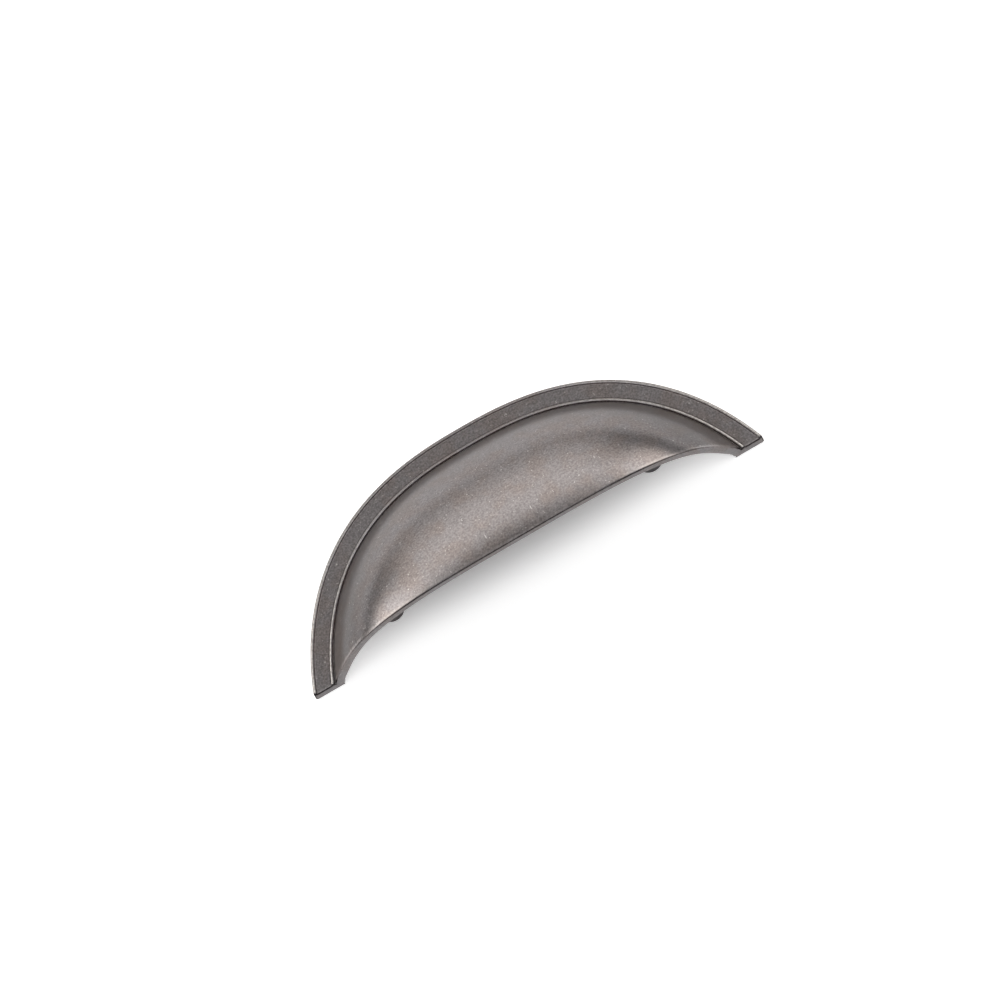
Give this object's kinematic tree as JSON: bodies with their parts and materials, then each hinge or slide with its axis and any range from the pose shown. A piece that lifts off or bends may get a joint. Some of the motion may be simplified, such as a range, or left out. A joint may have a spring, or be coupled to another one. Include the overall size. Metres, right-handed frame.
{
  "type": "cup pull",
  "caption": "Half-oval cup pull for a drawer: a domed finger shell with a beaded flange, open along one side, with tapped posts behind.",
  "frame": {"origin": "middle of the back plane: halfway along the pull and halfway from its mouth to its closed side", "axes": "+X along the pull, +Y from the open mouth to the closed side, +Z out from the drawer front to the crest of the dome"},
  "size_m": [0.1114, 0.0366, 0.0251],
  "materials": {
    "antique_pewter": "antique pewter plating over a zinc casting: dark, brushed, with paler worn beads, edges, pits and scratches"
  },
  "bodies": {
    "root": {"cup_pull": "antique_pewter"}
  },
  "joints": []
}
